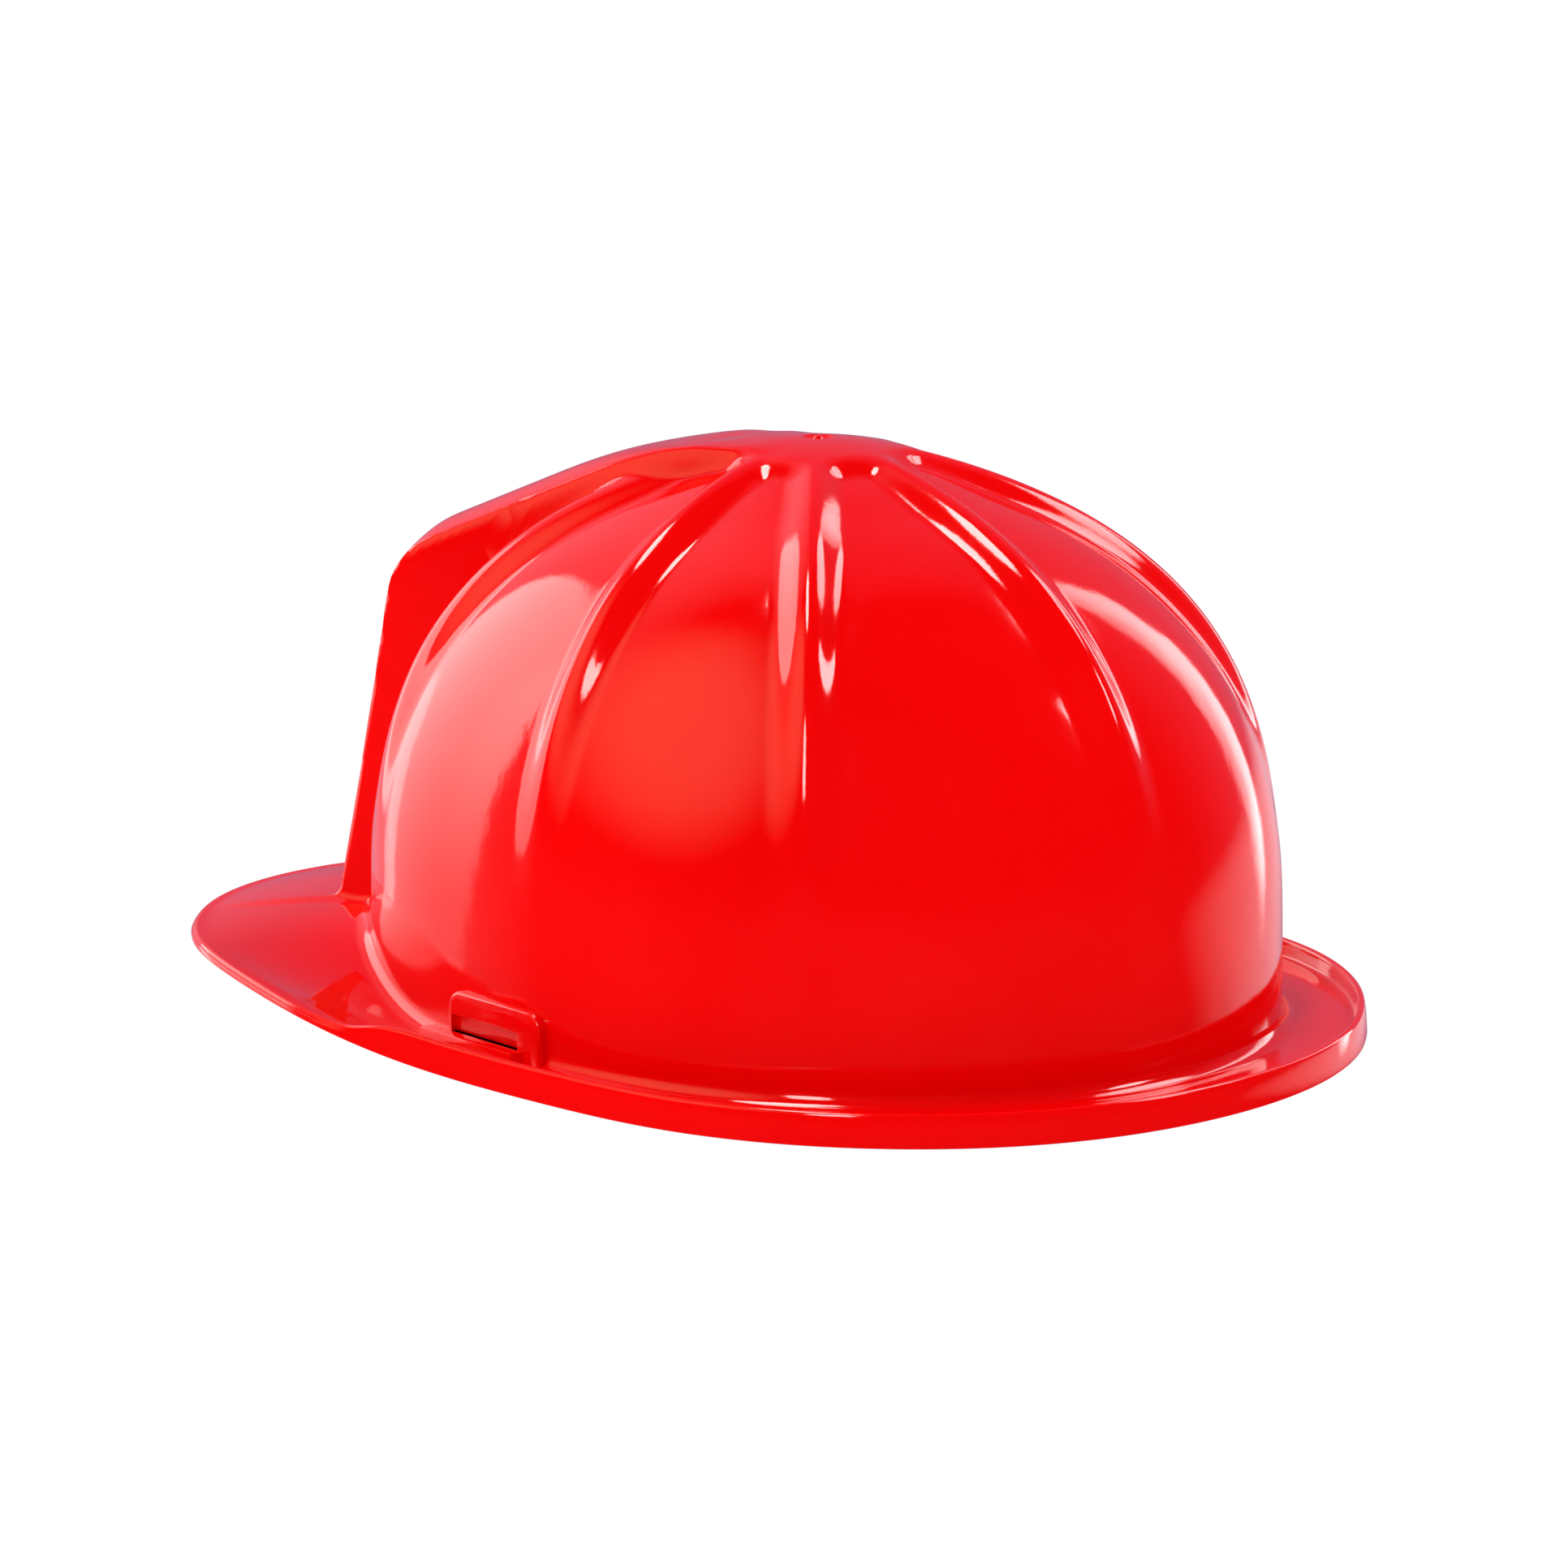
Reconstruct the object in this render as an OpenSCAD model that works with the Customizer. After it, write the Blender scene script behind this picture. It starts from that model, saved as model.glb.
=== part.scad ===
// Firefighter helmet, safety-helmet style, child size, with a ratchet-adjusted inner harness.
// Frame: millimetres, +Z up, visor towards -Y, wearer's left towards +X,
// origin under the middle of the helmet on the surface it stands on.

/* [Shell] */
// Height of the crown plateau above the rim
crown_h = 129; // [126:1:134]
// Wall thickness of the moulded shell
shell_t = 2.4; // [2:0.1:3]
// Fullness of the dome seen in plan direction
dome_p = 1.84; // [1.7:0.02:2.1]
// Fullness of the dome seen in height
dome_q = 3.43; // [3:0.05:3.8]
// Depth of the panels between the ribs
rib_depth = 4; // [2:0.25:5]
// Half width of a rib with its fillets
rib_hw = 8.5; // [7:0.5:9.5]
// Height of the gutter lip above the surface
lip_h = 7.3; // [6.5:0.1:8.5]
// Thickness of the gutter lip
lip_t = 2.2; // [1.8:0.1:2.6]
// Height of the visor tip's underside above the surface
visor_lift = 12.7; // [11:0.1:15]
// Half width of the front badge block
block_w = 13; // [12:0.5:14]

/* [Accessory slot] */
// Width of the slot opening
slot_w = 23; // [18:0.5:25]
// Height of the slot opening
slot_h = 3.8; // [2.4:0.1:4.2]

/* [Headband] */
// Half width of the headband's inner face
band_a = 68; // [67:0.5:69]
// Height of the headband
band_h = 24; // [20:1:25]
// Thickness of the headband
band_t = 1.6; // [1.2:0.1:1.8]
// Height of the headband's lower edge above the surface
band_z = 7; // [6.5:0.5:8]

/* [Ratchet] */
// Pitch radius of the pinion
pinion_r = 5; // [4.8:0.1:5.2]
// Number of pinion teeth
pinion_n = 10; // [8:1:12]
// Radius of the adjuster knob
knob_r = 14; // [12:0.5:15]
// Radius of the knob shaft
shaft_r = 4; // [3.5:0.1:4.2]

/* [Hidden] */
$fn = 64;

crown_y = 14;          // the crown axis stands this far behind the middle of the footprint
floor_z = 3.2;         // top of the gutter floor
base_z = 5;            // height where the dome's profile starts
ribs = [22.5, 67.5, 112.5, 157.5];

red = "#e8120c";
black = "#26262a";
grey = "#4a4c50";

// ---------- plan curves, p is the angle from the front about the crown axis ----------
function rim_r(p) = 117.4 + 5.5*cos(p) + 17.6*cos(2*p) + 8*cos(3*p) + 1.3*cos(4*p)
                    + 0.5*cos(6*p) + 0.5*cos(7*p) + 0.4*cos(8*p)
                    + 0.7*exp(-pow((abs(p) - 150)/22, 2)) - 1.1*exp(-pow(p/15, 2))
                    + 1.2*exp(-pow((abs(p) - 19)/9, 2));
function wall_r(p) = 94.3 - 2.5*cos(p) + 9.2*cos(2*p) + 3.1*cos(3*p) + 1.3*cos(4*p)
                     + 0.8*exp(-pow((abs(p) - 152)/24, 2));
function sstep(a, b, x) = let(t = max(0, min(1, (x - a)/(b - a)))) t*t*(3 - 2*t);
function smin(a, b, k) = let(h = max(0, min(1, 0.5 + 0.5*(b - a)/k))) b*(1 - h) + a*h - k*h*(1 - h);
function smax(a, b, k) = -smin(-a, -b, k);

// ---------- heights round the brim ----------
function lift(p) = visor_lift*exp(-pow(abs(p)/51.5, 3.2));
function is_lip(p) = 1/(1 + exp(-(abs(p) - 50.6)/1.9));
function edge_bot(p) = lift(p);
function edge_top(p) = lift(p) + 2.2 + (lip_h - 2.2)*is_lip(p);
function floor_edge(p) = edge_top(p) - (lip_h - floor_z)*is_lip(p);
function floor_root(p) = floor_z + 16.3*exp(-pow(abs(p)/30, 3));

// ---------- dome: rho is the share of the wall radius, f the share of the height ----------
function f_of(rho) = pow(max(0, 1 - pow(rho, dome_p)), 1/dome_q);
function rho_of(f) = pow(max(0, 1 - pow(f, dome_q)), 1/dome_p);
function nrm(p, rho, f) = let(a = dome_p*pow(max(rho, 0.02), dome_p - 1)/wall_r(p),
                              b = dome_q*pow(max(f, 0.001), dome_q - 1)/(crown_h - base_z),
                              l = sqrt(a*a + b*b)) [a/l, b/l];
// distance from the nearest rib's centre line, in degrees
function rib_off(p) = min([for (c = ribs) abs(abs(p) - c)]);
function rib_mask(p, r) = let(s = abs(r*sin(rib_off(p))), w = rib_hw - 1.4*(1 - sstep(22, 50, r)))
                          s > w ? 0 : 0.5 + 0.5*cos(180*s/w);
// the panels open in an arch beside the crown and then deepen slowly
function scoop(r, z) = rib_depth*(0.7*sstep(16.5, 24, r) + 0.3*sstep(22, 42, r))*sstep(36, 104, z);
// low swelling of the crown
function swell(p, r) = 1.8*exp(-pow(r/30, 2));
function panel_d(p, r, z) = swell(p, r) - scoop(r, z)*(1 - rib_mask(p, r));
// badge block: front face, ridge and crown cap, as distances along the dome's normal
function block_d(p, r, z, n) =
    let(c = cos(p), x = r*sin(p),
        d1 = ((113.5 - (z - 21.1)*0.1905)/c - r)/(n[0] + n[1]*0.1905/c),
        d2 = (108.2 + 0.43*(88 - r*c) - 0.02*x*x - z)/(n[1] + 0.43*n[0]*c),
        d3 = (130.9 - 0.0028*r*r - z)/max(n[1], 0.05))
    smin(smin(d1, d2, 10), d3, 2);
function block_mask(p, r, w) = (1 - sstep(w, w + 3.6, abs(r*sin(p))))*(1 - sstep(40, 80, abs(p)))*sstep(0, 28, r);
function disp(p, r, z, n, w) = let(d = panel_d(p, r, z), m = block_mask(p, r, w))
    m <= 0 ? d : d + (max(d, block_d(p, r, z, n)) - d)*m;
// a point of the dome's surface pushed out by the ribs and the block, and then by k
function dome_pt(p, rho, f, k, a) =
    let(r = wall_r(p)*rho, z = base_z + (crown_h - base_z)*f, n = nrm(p, rho, f),
        d = disp(p, r, z, n, a) + k, rr = r + d*n[0])
    [rr*sin(p), crown_y - rr*cos(p), z + d*n[1]];
function brim_pt(p, r, z) = [r*sin(p), crown_y - r*cos(p), z];

// ---------- columns round the helmet and rows over it ----------
function rib_cols(c) = [for (o = [-9:3:9]) c + o];
half = concat([0, 3.4, 6.4, 7.6, 8.8, 10.4, 12], rib_cols(22.5), [36, 41, 46, 49, 52, 55], rib_cols(67.5),
              [83, 90, 97], rib_cols(112.5), [128, 135, 142], rib_cols(157.5), [173, 180]);
nh = len(half);
cols = concat(half, [for (i = [nh - 2:-1:1]) -half[i]]);
nc = len(cols);
rhos = [0.07, 0.14, 0.2, 0.26, 0.36, 0.46, 0.55, 0.64, 0.73, 0.81, 0.88, 0.94];
// wall rows run from the dome down to the fillet above the brim
function wall_z(p, u) = let(z0 = floor_root(p) + 4) z0 + (61 - z0)*u;
function f_at(z) = max(0, (z - base_z)/(crown_h - base_z));
function wall_pt(p, u, k, a) = let(f = f_at(wall_z(p, u))) dome_pt(p, rho_of(f), f, k, a);
// radius of the wall at the foot, block included
function foot_r(p, a) = let(q = wall_pt(p, 0, 0, a)) norm([q[0], q[1] - crown_y]);
function outer_rows(a) = concat(
    [for (rho = rhos) [for (p = cols) dome_pt(p, rho, f_of(rho), 0, a)]],
    [for (u = [1, 0.75, 0.5, 0.25, 0]) [for (p = cols) wall_pt(p, u, 0, a)]],
    [[for (p = cols) brim_pt(p, foot_r(p, a) + 0.9, floor_root(p) + 1.6)],
     [for (p = cols) brim_pt(p, foot_r(p, a) + 3.2, floor_root(p))],
     [for (p = cols) brim_pt(p, rim_r(p) - lip_t - 1.6, floor_edge(p))],
     [for (p = cols) brim_pt(p, rim_r(p) - lip_t - 0.6, floor_edge(p) + 0.25 + 1.2*is_lip(p))],
     [for (p = cols) brim_pt(p, rim_r(p) - lip_t - 0.2, edge_top(p) - 0.1)],
     [for (p = cols) brim_pt(p, rim_r(p) - 0.9, edge_top(p))],
     [for (p = cols) brim_pt(p, rim_r(p), edge_bot(p))],
     [for (p = cols) brim_pt(p, rim_r(p) - lip_t, edge_bot(p))],
     [for (p = cols) brim_pt(p, rim_r(p) - lip_t - 0.3, floor_edge(p) - shell_t + 0.2)],
     [for (p = cols) brim_pt(p, foot_r(p, a) + 1, floor_root(p) - shell_t)],
     [for (p = cols) brim_pt(p, foot_r(p, a - 2) - shell_t, floor_root(p) - shell_t + 0.6)]]);
inner_rows = concat(
    [for (u = [0, 0.5, 1]) [for (p = cols) wall_pt(p, u, -shell_t, block_w - 2)]],
    [for (i = [11, 9, 7, 5, 3, 1]) [for (p = cols) dome_pt(p, rhos[i], f_of(rhos[i]), -shell_t, block_w - 2)]]);

module shell_skin() {
    rows = concat(outer_rows(block_w), inner_rows);
    nr = len(rows);
    pts = concat([for (row = rows) each row], [[0, crown_y, crown_h + 1.8], [0, crown_y, crown_h + 1.8 - shell_t]]);
    top = nr*nc;
    bottom = top + 1;
    faces = concat(
        [for (i = [0:nc - 1]) [top, (i + 1)%nc, i]],
        [for (j = [0:nr - 2], i = [0:nc - 1]) let(a = j*nc + i, b = j*nc + (i + 1)%nc, c = a + nc, d = b + nc)
            each [[a, b, c], [b, d, c]]],
        [for (i = [0:nc - 1]) let(k = (nr - 1)*nc) [bottom, k + i, k + (i + 1)%nc]]);
    polyhedron(points = pts, faces = faces, convexity = 6);
}

// plate with its two upper corners rounded
module tab2d(w, h, r) {
    square([w, h - r]);
    translate([r, 0]) square([w - 2*r, h]);
    for (x = [r, w - r]) translate([x, h - r]) circle(r);
}
slot_z = 6.3;          // height of the slot's sill, level with the ledge
// frame of the accessory slot on the wearer's left, outward along +X
module at_slot() { translate([72, -31, 0]) rotate(-24.5) children(); }
// frame of a suspension socket: outward along +X, on the wall's inner face
front_dir = -44;       // direction of the front hangers, from +X
rear_dir = 44;         // direction of the rear hangers, from +X
front_arc_y = -18;     // centre of the headband's front arc
rear_arc_y = 38;       // centre of the headband's rear arc
arc_r = 56;            // inner radius of both end arcs
module at_front(s = 1) { scale1(s) translate([0, front_arc_y, 0]) rotate(front_dir) children(); }
module at_rear(s = 1) { scale1(s) translate([0, rear_arc_y, 0]) rotate(rear_dir) children(); }
module scale1(s) { if (s > 0) children(); else mirror([1, 0, 0]) children(); }
front_gap = 64.2;      // blade centre of a front hanger from the front arc's centre
rear_gap = 72.4;       // blade centre of a rear hanger from the rear arc's centre

module socket(g) {
    difference() {
        translate([g - 2.4, -9.5, 15]) cube([g > 70 ? 8.4 : 6.6, 19, 15]);
        translate([g - 1.15, -7.2, 14]) cube([2.3, 14.4, 14]);
    }
}

module shell() {
    color(red) difference() {
        union() {
            shell_skin();
            for (s = [1, -1]) {
                scale1(s) at_slot() {
                    translate([-1.8, -12.8, 3]) rotate([90, 0, 90]) linear_extrude(height = 3.4) tab2d(31.8, 12.5, 4);
                    translate([-1.8, -19, floor_z - 1]) cube([6.4, 32, slot_z - floor_z + 1]);
                }
                at_front(s) socket(front_gap);
                at_rear(s) socket(rear_gap);
            }
            translate([0, crown_y, crown_h]) cylinder(h = 1.6, r = 1.5);
        }
        for (s = [1, -1]) scale1(s) at_slot() {
            translate([-0.9, -slot_w/2, slot_z]) cube([8, slot_w, slot_h]);
            translate([-0.9, -slot_w/2, slot_z]) cube([1.4, slot_w, 8]);
        }
        difference() {
            translate([0, crown_y, crown_h + 1.1]) cylinder(h = 6, r = 3.8);
            translate([0, crown_y, crown_h + 0.5]) cylinder(h = 1.2, r = 1.5);
        }
    }
}

// ---------- headband: two end arcs and two side arcs, all tangent ----------
band_y = 10;                                   // middle of the headband
c1 = rear_arc_y - band_y;
side_c = (c1*c1 - pow(band_a - arc_r, 2))/(2*(band_a - arc_r));
side_r = band_a + side_c;
join_a = atan2(c1, side_c);
module sector(r0, r1, z0, z1, a0, a1) {
    rotate(a0) rotate_extrude(angle = a1 - a0, $fn = 96) translate([r0, z0]) square([r1 - r0, z1 - z0]);
}
function arc_pts(cx, cy, r, a0, a1, n) = [for (i = [0:n - 1]) let(a = a0 + (a1 - a0)*i/n) [cx + r*cos(a), cy + r*sin(a)]];
// right half of the oval at an offset, from its rear end to the middle of the brow
function half_path(o, rear_end, side_from) = concat(
    rear_end > join_a ? arc_pts(0, rear_arc_y, arc_r + o, rear_end, join_a, 8) : [],
    arc_pts(-side_c, band_y, side_r + o, side_from, -join_a, round((side_from + join_a)/3)),
    arc_pts(0, front_arc_y, arc_r + o, -join_a, -90, 14));
function oval_path(o, rear_end, side_from) = let(h = half_path(o, rear_end, side_from))
    concat(h, [[0, front_arc_y - arc_r - o]], [for (i = [len(h) - 1:-1:0]) [-h[i][0], h[i][1]]]);
// strip between two offsets of the oval, open at the back
module strip(o0, o1, z0, z1, rear_end, side_from) {
    a = oval_path(o1, rear_end, side_from);
    b = oval_path(o0, rear_end, side_from);
    translate([0, 0, z0]) linear_extrude(height = z1 - z0) polygon(concat(a, [for (i = [len(b) - 1:-1:0]) b[i]]));
}
rivet_z = 15.2;         // height of the hanger rivets
stud_z = band_z + 14;  // height of the sweatband studs
guide_a = 18;          // a tail guide stands this far behind a rear hanger
guide_p = [band_z + 1.5, band_z + band_h - 1.5];
module headband() {
    color(black) difference() {
        strip(0, band_t, band_z, band_z + band_h, 66, join_a);
        for (s = [1, -1]) {
            at_front(s) translate([50, 0, rivet_z]) rotate([0, 90, 0]) cylinder(h = 14, r = 1.6);
            at_rear(s) translate([50, 0, rivet_z]) rotate([0, 90, 0]) cylinder(h = 14, r = 1.6);
            for (z = guide_p) at_rear(s) rotate(guide_a)
                translate([50, 0, z]) rotate([0, 90, 0]) cylinder(h = 14, r = 0.85);
        }
        for (a = [-30, 0, 30]) translate([0, front_arc_y, stud_z]) rotate(a - 90)
            translate([50, 0, 0]) rotate([0, 90, 0]) cylinder(h = 14, r = 1.55);
    }
}

// ---------- hangers ----------
module hanger(g) {
    o = arc_r + band_t + 0.3;
    difference() {
        union() {
            translate([o, -8, 8.5]) cube([2, 16, 33.5]);
            translate([o, -8, 8.5]) cube([g + 1 - o, 16, 2.4]);
            translate([g - 1, -7, 8.5]) cube([2, 14, 18.3]);
            translate([o + 1, -1, 10]) cube([g - o - 1.5, 2, 1.9]);
        }
        translate([o - 1, 0, rivet_z]) rotate([0, 90, 0]) cylinder(h = 4, r = 1.6);
        translate([o - 1, -6, 36]) cube([4, 12, 2.6]);
    }
}
module hangers_front() { color(grey) for (s = [1, -1]) at_front(s) hanger(front_gap); }
module hangers_rear() { color(grey) for (s = [1, -1]) at_rear(s) hanger(rear_gap); }
module rivet() {
    translate([arc_r - 0.8, 0, rivet_z]) rotate([0, 90, 0]) cylinder(h = 0.75, r = 2.8);
    translate([arc_r - 0.8, 0, rivet_z]) rotate([0, 90, 0]) cylinder(h = 5.6, r = 1.55);
    translate([arc_r + band_t + 2.35, 0, rivet_z]) rotate([0, 90, 0]) cylinder(h = 0.9, r = 2.8);
}
module hanger_rivets() { color("silver") for (s = [1, -1]) { at_front(s) rivet(); at_rear(s) rivet(); } }

// ---------- crown cradle ----------
tab_o = arc_r + band_t + 0.3;                  // inner face of a hanger's tab
tab_x = (tab_o + 1)*cos(rear_dir);             // middle of the tab's slot from the centre line
tab_y = rear_arc_y - band_y + (tab_o + 1)*sin(rear_dir);
strap_a = atan2(tab_x, tab_y);                 // plan direction of the straps from the Y axis
strap_r = norm([tab_x, tab_y]) - 0.6;          // reach of a strap at its ends
strap_z = 44;
strap_top = 97;
function strap_p(t, o) = [(strap_r + o)*pow(cos(t), 0.9), strap_z + (strap_top + o - strap_z)*sin(t)];
module strap_arc(o) {
    half_o = [for (t = [0:5.5:88]) strap_p(t, o + 1.2)];
    half_i = [for (t = [0:5.5:88]) strap_p(t, o)];
    n = len(half_o);
    pts = concat(half_o, [for (i = [n - 1:-1:0]) [-half_o[i][0], half_o[i][1]]],
                 [for (i = [0:n - 1]) [-half_i[i][0], half_i[i][1]]], [for (i = [n - 1:-1:0]) half_i[i]]);
    rotate([90, 0, 0]) translate([0, 0, -6]) linear_extrude(height = 12) polygon(pts);
}
// sewn loop round the bar above a hanger's slot
module strap_loop() {
    difference() {
        translate([tab_o - 1.3, -5.7, 36.3]) cube([4.6, 11.4, 8.7]);
        translate([tab_o - 0.1, -6, 38.3]) cube([2.2, 12, 4]);
    }
}
module strap(a, o, s) {
    difference() {
        union() {
            translate([0, band_y, 0]) rotate(a) strap_arc(o);
            at_front(s) strap_loop();
            at_rear(-s) strap_loop();
        }
        translate([0, band_y, strap_top - 4]) cylinder(h = 10, r = 1.6);
    }
}
module crown_strap_lower() { color(black) strap(90 + strap_a, 0, 1); }
module crown_strap_upper() { color(black) strap(90 - strap_a, 1.5, -1); }
module crown_rivet() {
    color(grey) translate([0, band_y, 0]) {
        translate([0, 0, strap_top - 1.6]) cylinder(h = 1.5, r = 3);
        translate([0, 0, strap_top - 1.6]) cylinder(h = 5.6, r = 1.55);
        translate([0, 0, strap_top + 2.8]) cylinder(h = 1.2, r = 3.4);
    }
}
module crown_pad() {
    color("#3a3a3e") translate([0, band_y, 0]) rotate_extrude() polygon([
        [0, 89.6], [12, 89.2], [22, 88], [28, 86.6], [31, 87], [31.8, 88.8], [30, 91], [24, 93], [14, 94.4], [0, 95]]);
}

// ---------- pads ----------
module brow_pad() {
    z = [band_z - 1, band_z + band_h - 2];
    color("#3a3a3e") difference() {
        strip(-4.8, -0.2, z[0], z[1], 0, -17);
        for (a = [-30, 0, 30]) translate([0, front_arc_y, stud_z]) rotate(a - 90)
            translate([arc_r - 1.3, 0, 0]) rotate([0, 90, 0]) cylinder(h = 3, r = 2.7);
        for (s = [1, -1]) at_front(s) translate([arc_r - 1.3, 0, rivet_z]) rotate([0, 90, 0]) cylinder(h = 3, r = 3.1);
    }
}
module brow_pad_studs() {
    color(black) for (a = [-30, 0, 30]) translate([0, front_arc_y, stud_z]) rotate(a - 90) {
        translate([arc_r - 1.05, 0, 0]) rotate([0, 90, 0]) cylinder(h = 0.95, r = 2.4);
        translate([arc_r - 1.05, 0, 0]) rotate([0, 90, 0]) cylinder(h = 3.2, r = 1.5);
        translate([arc_r + band_t + 0.1, 0, 0]) rotate([0, 90, 0]) cylinder(h = 0.9, r = 2.4);
    }
}
module nape_pad() {
    color("#3a3a3e") translate([0, rear_arc_y, 0]) sector(arc_r - 5.4, arc_r - 0.5, band_z - 1, band_z + band_h + 1, 69, 111);
}

// ---------- ratchet at the nape, radii about the rear arc's centre ----------
rz = band_z + band_h/2;                        // height of the pinion axis
hb = [arc_r - 0.4, arc_r + band_t];            // base plate
tl = [arc_r + 2, arc_r + 3.2];                 // left tail
tr = [arc_r + 3.55, arc_r + 4.75];             // right tail
cv = [arc_r + 5.1, arc_r + 7.1];               // cover plate
screw_at = [[-15, rz - 11.7], [15, rz - 11.7], [-15, rz + 11.7], [15, rz + 11.7]];
module radial(a, z) { translate([0, rear_arc_y, z]) rotate(90 + a) rotate([0, 90, 0]) children(); }
module nape_housing() {
    color(black) difference() {
        translate([0, rear_arc_y, 0]) {
            sector(hb[0], hb[1], rz - 13.5, rz + 13.5, 68, 112);
            for (z = [[rz - 13.5, rz - 9.8], [rz + 9.8, rz + 13.5]]) sector(hb[0] + 1, cv[0] - 0.05, z[0], z[1], 68, 112);
        }
        for (q = screw_at) radial(q[0], q[1]) translate([0, 0, arc_r]) cylinder(h = 8, r = 0.85);
        radial(0, rz) translate([0, 0, 50]) cylinder(h = 10, r = 2.06);
    }
}
module nape_cover() {
    color(black) difference() {
        union() {
            translate([0, rear_arc_y, 0]) sector(cv[0], cv[1], rz - 13.5, rz + 13.5, 67, 113);
            radial(0, rz) translate([0, 0, cv[0] + 1]) cylinder(h = 2.8, r = 6.4);
        }
        for (q = screw_at) radial(q[0], q[1]) translate([0, 0, arc_r]) cylinder(h = 12, r = 0.95);
        radial(0, rz) translate([0, 0, 55]) cylinder(h = 12, r = shaft_r + 0.05);
    }
}
module cover_screws() {
    color("silver") for (q = screw_at) radial(q[0], q[1]) {
        translate([0, 0, arc_r + 1.4]) cylinder(h = cv[1] - arc_r - 0.9, r = 0.8);
        difference() {
            translate([0, 0, cv[1] + 0.02]) cylinder(h = 0.9, r = 1.8);
            translate([-0.25, -1.3, cv[1] + 0.5]) cube([0.5, 2.6, 1]);
            translate([-1.3, -0.25, cv[1] + 0.5]) cube([2.6, 0.5, 1]);
        }
    }
}
pitch = 2*PI*pinion_r/pinion_n;
// a toothed band end; angles run from +X, the rack stands above the pinion or below it
module tail(r, up) {
    step = pitch/((r[0] + r[1])/2)*180/PI;
    m = up ? 1 : -1;
    difference() {
        sector(r[0], r[1], rz - 9, rz + 9, up ? 58.5 : 71, up ? 109 : 121.5);
        sector(r[0] - 1, r[1] + 1, rz - 6.2, rz + 6.2, 77.5, 102.5);
    }
    for (i = [-4:4]) if (abs(i*step) < 12) rotate(90 + i*step)
        translate([r[0], -0.45, rz + m*5.45 - 1]) cube([r[1] - r[0], 0.9, 2]);
}
module strap_tail_left() { color(grey) translate([0, rear_arc_y, 0]) tail(tl, true); }
module strap_tail_right() { color(grey) translate([0, rear_arc_y, 0]) tail(tr, false); }
module strap_guides() {
    color(black) for (s = [1, -1]) at_rear(s) rotate(guide_a) {
        translate([cv[0], -2.8, band_z + 0.4]) cube([1.4, 5.6, band_h - 0.8]);
        for (z = guide_p) {
            translate([arc_r + band_t + 0.1, -2.8, z - 1.1]) cube([cv[0] - arc_r - band_t, 5.6, 2.2]);
            translate([arc_r - 0.3, 0, z]) rotate([0, 90, 0]) cylinder(h = 3, r = 0.8);
        }
    }
}
module pinion_shaft() {
    color("white") radial(0, rz) difference() {
        union() {
            translate([0, 0, arc_r - 0.3]) cylinder(h = 2.3, r = 2);
            translate([0, 0, arc_r + 1.9]) cylinder(h = 2.7, r = pinion_r - 1.1);
            for (i = [0:pinion_n - 1]) rotate(i*360/pinion_n + 180/pinion_n) translate([0, -0.45, arc_r + 1.9])
                cube([pinion_r + 0.3, 0.9, 2.7]);
            translate([0, 0, arc_r + 4.6]) cylinder(h = 7.85, r = shaft_r);
        }
        translate([0, 0, arc_r + 7]) cylinder(h = 8, r = 1.25);
    }
}
module detent_ring() {
    color("silver") radial(0, rz) translate([0, 0, cv[1] + 0.1]) {
        difference() {
            union() { cylinder(h = 1.1, r = 9.6); for (a = [0, 180]) rotate(a) translate([9, -0.8, 0]) cube([1.7, 1.6, 1.1]); }
            translate([0, 0, -1]) cylinder(h = 4, r = 6.45);
        }
    }
}
module adjuster_knob() {
    z0 = cv[1] + 0.4;
    color(black) radial(0, rz) difference() {
        union() {
            translate([0, 0, z0]) cylinder(h = 8, r = knob_r - 0.9);
            for (i = [0:17]) rotate(i*20) translate([knob_r - 1.2, 0, z0 + 0.4]) cylinder(h = 7.2, r = 1.2, $fn = 24);
            translate([-2, -knob_r + 3, z0 + 7.5]) cube([4, 2*knob_r - 6, 2]);
        }
        translate([0, 0, z0 - 1]) cylinder(h = 2.6, r = 11.1);
        for (i = [0:17]) rotate(i*20 + 10) translate([11, 0, z0 - 1]) cylinder(h = 2.6, r = 0.8, $fn = 24);
        translate([0, 0, z0 - 1]) cylinder(h = 6.1, r = shaft_r);
        translate([0, 0, z0 + 4]) cylinder(h = 6, r = 1.45);
        translate([0, 0, z0 + 6.6]) cylinder(h = 4, r = 3.1);
    }
}
module knob_screw() {
    z0 = cv[1] + 0.4;
    color("silver") radial(0, rz) difference() {
        union() {
            translate([0, 0, z0 + 6.65]) cylinder(h = 1.5, r = 2.8);
            translate([0, 0, z0 + 0.5]) cylinder(h = 6.6, r = 1.2);
        }
        translate([-0.35, -2, z0 + 7.4]) cube([0.7, 4, 2]);
        translate([-2, -0.35, z0 + 7.4]) cube([4, 0.7, 2]);
    }
}

shell();
headband();
hangers_front();
hangers_rear();
crown_strap_lower();
crown_strap_upper();
crown_rivet();
crown_pad();
brow_pad();
brow_pad_studs();
hanger_rivets();
nape_housing();
nape_cover();
cover_screws();
nape_pad();
strap_guides();
strap_tail_left();
strap_tail_right();
pinion_shaft();
detent_ring();
adjuster_knob();
knob_screw();
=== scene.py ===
import bpy, bmesh, math
import numpy as np
from mathutils import Matrix, Vector


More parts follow.
